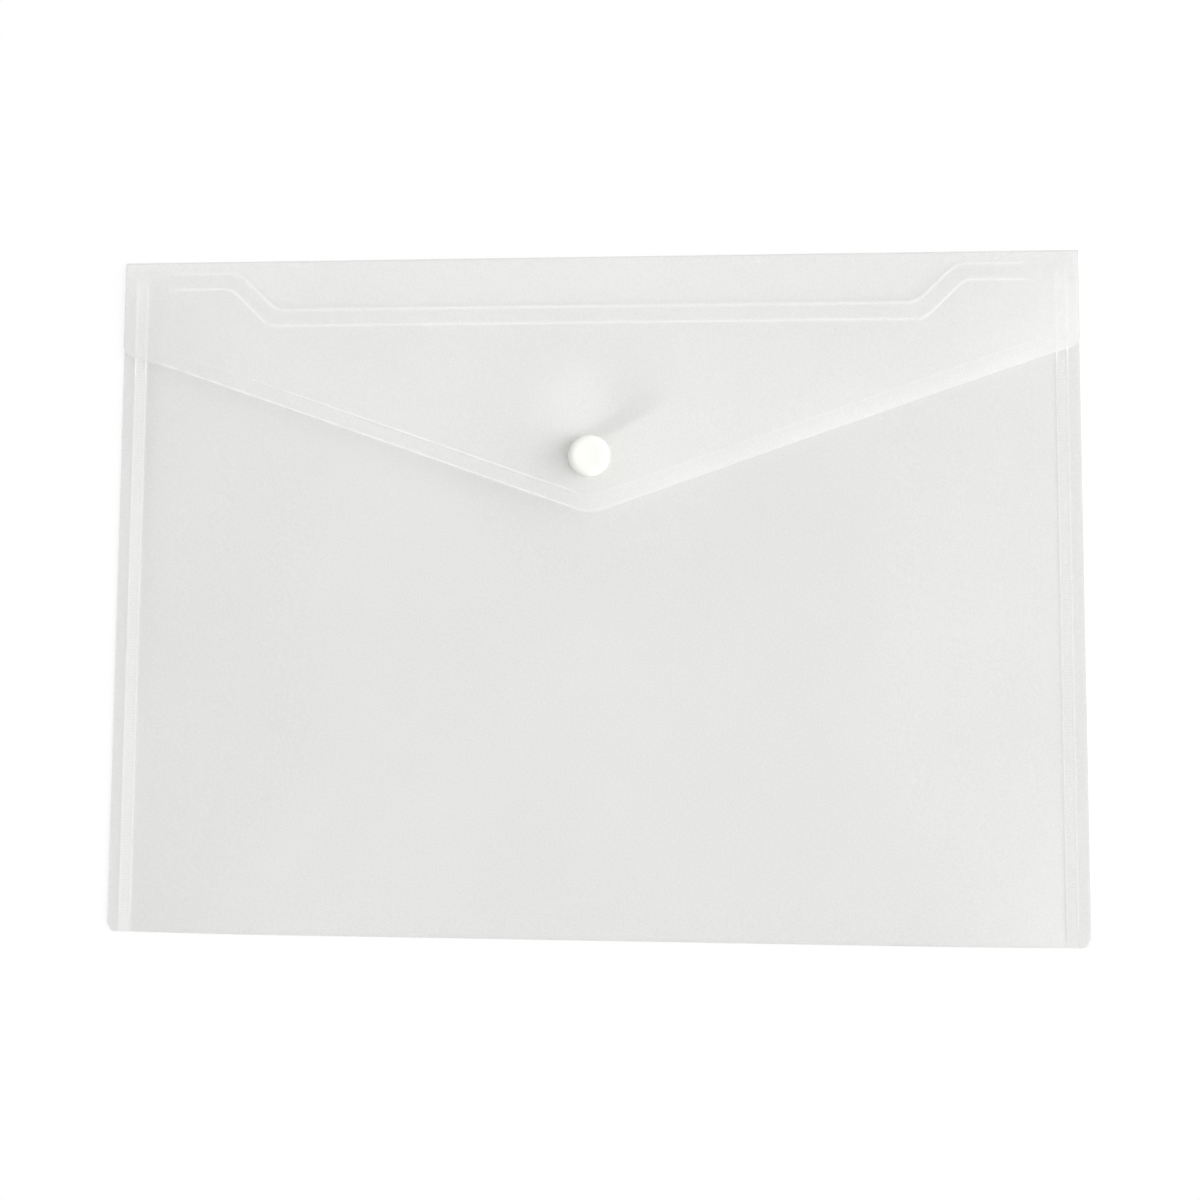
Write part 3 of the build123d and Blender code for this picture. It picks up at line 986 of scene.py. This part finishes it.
def turnPiece(name, profile, closed):
    bm = bmesh.new()
    count = buttonSet["segments"]
    rings = []
    for radius, z in profile:
        if radius < hair:
            rings.append([bm.verts.new((snapX, snapY, z))])
            continue
        ring = []
        for k in range(count):
            angle = 2 * math.pi * k / count
            x, y = snapX + radius * math.cos(angle), snapY + radius * math.sin(angle)
            ring.append(bm.verts.new((x, y, z)))
        rings.append(ring)
    pairs = list(zip(rings, rings[1:]))
    if closed:
        pairs.append((rings[-1], rings[0]))
    for lower, upper in pairs:
        for k in range(count):
            after = (k + 1) % count
            corners = [lower[k % len(lower)], lower[after % len(lower)]]
            corners += [upper[after % len(upper)], upper[k % len(upper)]]
            bm.faces.new(list(dict.fromkeys(corners)))   # a pole gives one corner, not two
    piece = smoothPiece(name, bm, buttonSet["sharpAngle"])
    piece.data.materials.append(whitePlastic)
    return piece


def roundEdge(radius, low, start, end):
    edge = buttonSet["roundEdge"]
    return arcPoints(radius - edge, low + edge, edge, start, end, buttonSet["roundSteps"])


def capProfile():
    s = buttonSet
    seat, top, foot = socketHigh.z + sheetThick, capHigh.z, capLow.z
    points = [(0, foot), (s["stakeRadius"], foot)]
    points += [(s["postRadius"], foot + s["stakeHeight"]), (s["postRadius"], seat)]
    points += [(s["capRadius"] - s["edgeBreak"], seat), (s["capRadius"], seat + s["edgeBreak"])]
    wide, high = s["capEdge"]
    for r, z in arcPoints(0, 0, 1, 0, 90, s["capEdgeSteps"]):
        points.append((s["capRadius"] - wide * (1 - r), top - high * (1 - z)))
    for step in range(s["dishSteps"] + 1):
        share = 1 - step / s["dishSteps"]
        points.append((s["dishRadius"] * share, top - s["dishDepth"] * (1 - share * share) ** 2))
    return points


def socketProfile():
    s = buttonSet
    radius, low, high = (socketHigh.x - socketLow.x) / 2, socketLow.z, socketHigh.z
    web = high - s["socketWeb"]
    hole, stake = s["postRadius"] + s["postGap"], s["stakeRadius"] + s["postGap"]
    points = [(hole, high), (radius - s["edgeBreak"], high), (radius, high - s["edgeBreak"])]
    points += roundEdge(radius, low, 0, -90)
    points += [(s["mouthRadius"] + s["edgeBreak"], low), (s["mouthRadius"], low + s["edgeBreak"])]
    points += [(s["mouthRadius"], low + s["lipHeight"]), (s["cavityRadius"], low + s["lipHeight"])]
    points += [(s["cavityRadius"], web), (stake, web), (hole, web + s["stakeHeight"])]
    return points


def studProfile():
    s = buttonSet
    radius, low, top = (studHigh.x - studLow.x) / 2, studLow.z, studHigh.z
    flange = low + s["flange"]
    neckTop = flange + s["lipHeight"] + s["neckGap"]
    hole, stake = s["postRadius"] + s["postGap"], s["stakeRadius"] + s["postGap"]
    points = [(hole, low), (radius - s["edgeBreak"], low), (radius, low + s["edgeBreak"])]
    points += [(radius, flange - s["edgeBreak"]), (radius - s["edgeBreak"], flange)]
    points += [(s["neckRadius"], flange), (s["neckRadius"], neckTop)]
    points += [(s["headRadius"], neckTop + s["headRamp"]), (s["headTopRadius"], top)]
    points += [(stake, top), (hole, top - s["stakeHeight"])]
    return points


def backingProfile():
    s = buttonSet
    radius, low, top = (backingHigh.x - backingLow.x) / 2, backingLow.z, backingHigh.z
    seat = studLow.z - sheetThick
    points = [(0, low)] + roundEdge(radius, low, -90, 0)
    points += [(radius, seat - s["edgeBreak"]), (radius - s["edgeBreak"], seat), (s["postRadius"], seat)]
    points += [(s["postRadius"], top - s["stakeHeight"]), (s["stakeRadius"], top), (0, top)]
    return points


buttonCap = turnPiece("button_cap", capProfile(), False)
buttonSocket = turnPiece("button_socket", socketProfile(), True)
buttonStud = turnPiece("button_stud", studProfile(), True)
buttonBacking = turnPiece("button_backing_cap", backingProfile(), False)
print("wallet: press stud turned")

# the pieces take their bodies, except the flap sheet, whose transform is baked, and the nodes that they
# stand for are hidden
for sheet in (pocketSheet, flapSheet):
    sheet.data.materials.append(frosted)
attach(pocketSheet, "pocket")
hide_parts("back_panel", "bottom_fold", "front_panel", "left_side_weld", "right_side_weld")
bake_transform(flapSheet)
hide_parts("flap_panel", "flap_crease")
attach(flapRibs, "flap")
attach(mouthRibs, "pocket")
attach(weldRibs, "pocket")
buttonPlaces = (
    (buttonCap, "flap", "snap_cap"),
    (buttonSocket, "flap", "snap_socket"),
    (buttonStud, "pocket", "snap_stud"),
    (buttonBacking, "pocket", "stud_backing_cap"),
)
for piece, body, node in buttonPlaces:
    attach(piece, body)
    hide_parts(node)

# floor, light and camera
stageSet = {
    "floorHalf": 4.0,
    "floorDrop": 0.15 * mm,
    "floorColor": (0.56, 0.56, 0.56, 1),
    "floorGlow": 0.43,         # brings the bare lit floor up to white for the camera
    "dome": 0.675,
    "keyPower": 4250.0,
    "keySize": 15.0,
    "keyDistance": 20.0,
    "keyElevation": math.radians(23),
    "keyAzimuth": math.radians(-5),
    "clearBounces": 24,        # enough for every layer of film
    "softBounces": 6,
}


def seenDirectly(tree, place, bare=False):
    rays = addNode(tree, "ShaderNodeLightPath", place)
    shown = rays.outputs["Is Camera Ray"]
    if bare:  # not through the film
        noFilm = addNode(tree, "ShaderNodeMath", (place[0] + 200, place[1] + 200), operation="LESS_THAN")
        noFilm.inputs[1].default_value = 0.5
        tree.links.new(rays.outputs["Transparent Depth"], noFilm.inputs[0])
        both = addNode(tree, "ShaderNodeMath", (place[0] + 400, place[1] + 200), operation="MULTIPLY")
        tree.links.new(shown, both.inputs[0])
        tree.links.new(noFilm.outputs[0], both.inputs[1])
        shown = both.outputs[0]
    for kind in ("Is Glossy Ray", "Is Transmission Ray"):
        either = addNode(tree, "ShaderNodeMath", (place[0] + 200, place[1]), operation="MAXIMUM")
        tree.links.new(shown, either.inputs[0])
        tree.links.new(rays.outputs[kind], either.inputs[1])
        shown = either.outputs[0]
    return shown


def makeFloor():
    half = stageSet["floorHalf"]
    mesh = bpy.data.meshes.new("floor")
    z = -stageSet["floorDrop"]
    corners = [(-half, -half, z), (half, -half, z), (half, half, z), (-half, half, z)]
    mesh.from_pydata(corners, [], [(0, 1, 2, 3)])
    material = bpy.data.materials.new("pale floor")
    material.use_nodes = True
    tree = material.node_tree
    tree.nodes.clear()
    matte = addNode(tree, "ShaderNodeBsdfDiffuse", (0, 0))
    matte.inputs["Color"].default_value = stageSet["floorColor"]
    glow = addNode(tree, "ShaderNodeEmission", (0, -200))
    level = addNode(tree, "ShaderNodeMath", (-200, -250), operation="MULTIPLY")
    level.inputs[1].default_value = stageSet["floorGlow"]
    tree.links.new(seenDirectly(tree, (-900, -250), bare=True), level.inputs[0])
    tree.links.new(level.outputs[0], glow.inputs["Strength"])
    both = addNode(tree, "ShaderNodeAddShader", (200, 0))
    tree.links.new(matte.outputs[0], both.inputs[0])
    tree.links.new(glow.outputs[0], both.inputs[1])
    output = addNode(tree, "ShaderNodeOutputMaterial", (400, 0))
    tree.links.new(both.outputs[0], output.inputs["Surface"])
    mesh.materials.append(material)
    floor = newPiece("floor", mesh)


def makeLight():
    world = bpy.data.worlds.new("soft studio")
    scene.world = world
    world.use_nodes = True
    tree = world.node_tree
    dome = tree.nodes["Background"]
    level = addNode(tree, "ShaderNodeMix", (-200, -100), data_type="FLOAT")
    level.inputs[2].default_value = stageSet["dome"]
    level.inputs[3].default_value = 1.0
    tree.links.new(seenDirectly(tree, (-700, -100)), level.inputs[0])
    tree.links.new(level.outputs[0], dome.inputs["Strength"])
    dome.inputs["Color"].default_value = (1, 1, 1, 1)
    lamp = bpy.data.lights.new("soft key", "AREA")
    lamp.size = stageSet["keySize"]
    lamp.energy = stageSet["keyPower"]
    key = bpy.data.objects.new("soft key", lamp)
    scene.collection.objects.link(key)
    up, along = stageSet["keyElevation"], stageSet["keyAzimuth"]
    toKey = Vector((math.cos(up) * math.cos(along), math.cos(up) * math.sin(along), math.sin(up)))
    key.location = toKey * stageSet["keyDistance"]
    key.rotation_euler = toKey.to_track_quat("Z", "Y").to_euler()


cameraSet = {
    "lens": 36.0,
    "sensor": 36.0,
    "place": Vector((26.6, -28.4, 407.3)) * mm,
    "aim": Vector((3.5, -2.6, 0.0)) * mm,
    "roll": math.radians(0.1),
    "clipStart": 10.0 * mm,
}


def makeCamera():
    data = bpy.data.cameras.new("photo camera")
    data.lens = cameraSet["lens"]
    data.sensor_width = cameraSet["sensor"]
    data.clip_start = cameraSet["clipStart"]
    camera = bpy.data.objects.new("photo camera", data)
    scene.collection.objects.link(camera)
    camera.location = cameraSet["place"]
    back = (cameraSet["place"] - cameraSet["aim"]).normalized()
    level = Vector((math.cos(cameraSet["roll"]), math.sin(cameraSet["roll"]), 0))
    up = back.cross(level).normalized()
    camera.rotation_euler = Matrix((up.cross(back), up, back)).transposed().to_euler()
    scene.camera = camera


makeFloor()
makeLight()
makeCamera()
scene.view_settings.view_transform = "Standard"
scene.cycles.transparent_max_bounces = stageSet["clearBounces"]
scene.cycles.diffuse_bounces = stageSet["softBounces"]
print("wallet: stage, light and camera set")
